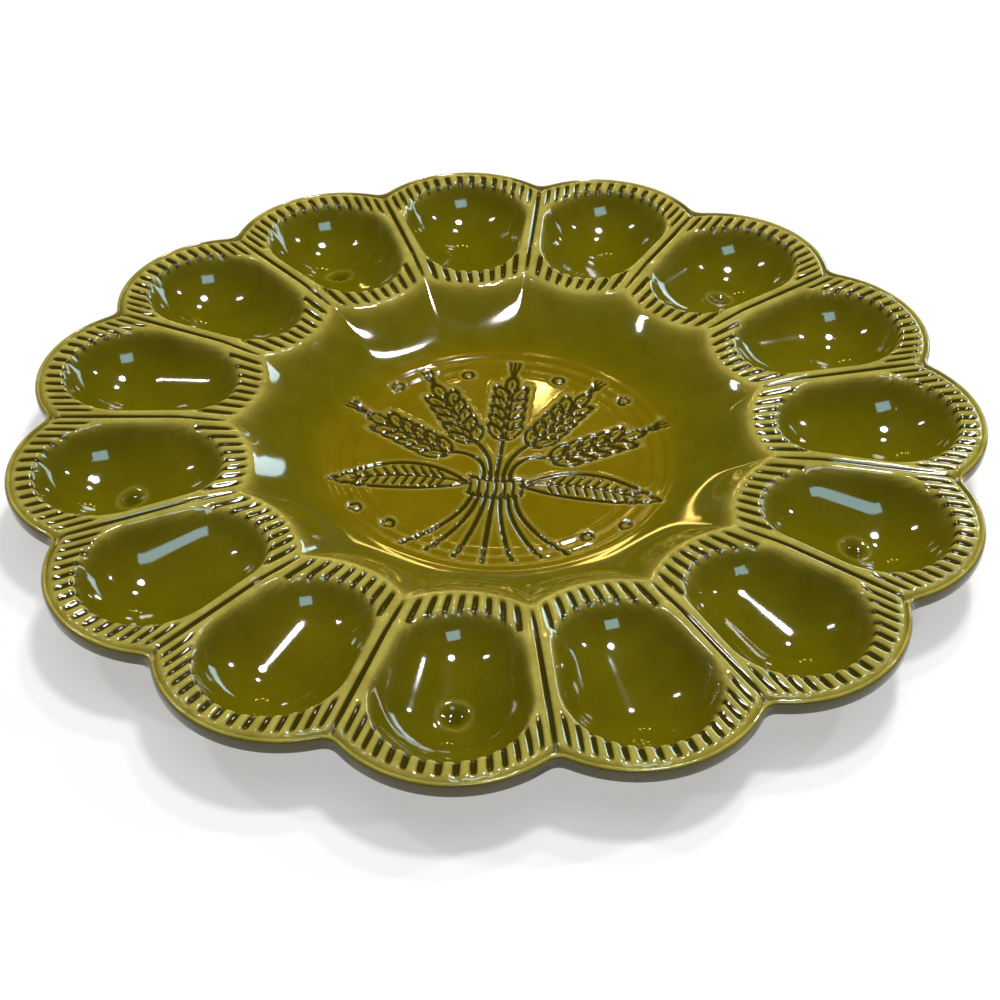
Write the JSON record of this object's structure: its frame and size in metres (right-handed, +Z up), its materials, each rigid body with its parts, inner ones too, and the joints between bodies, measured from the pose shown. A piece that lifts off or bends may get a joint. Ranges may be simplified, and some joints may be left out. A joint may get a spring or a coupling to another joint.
{
  "type": "deviled egg platter",
  "caption": "Round glazed ceramic platter with a scalloped ring of egg-shaped wells, a fluted land and a shallow centre dish, on small peg feet.",
  "frame": {"origin": "on the platter's axis, in the plane that the feet stand on", "axes": "+Z up, -Y through the middle of one egg well, +X to the right seen from that side"},
  "size_m": [0.3286, 0.3273, 0.0251],
  "materials": {
    "clay": "bare fired clay",
    "glaze": "glossy olive green glaze"
  },
  "bodies": {
    "root": {"clay_body": "clay", "face_glaze": "glaze", "underside_glaze": "glaze", "foot_1": "clay", "foot_2": "clay", "foot_3": "clay", "foot_4": "clay", "foot_5": "clay"}
  },
  "joints": []
}
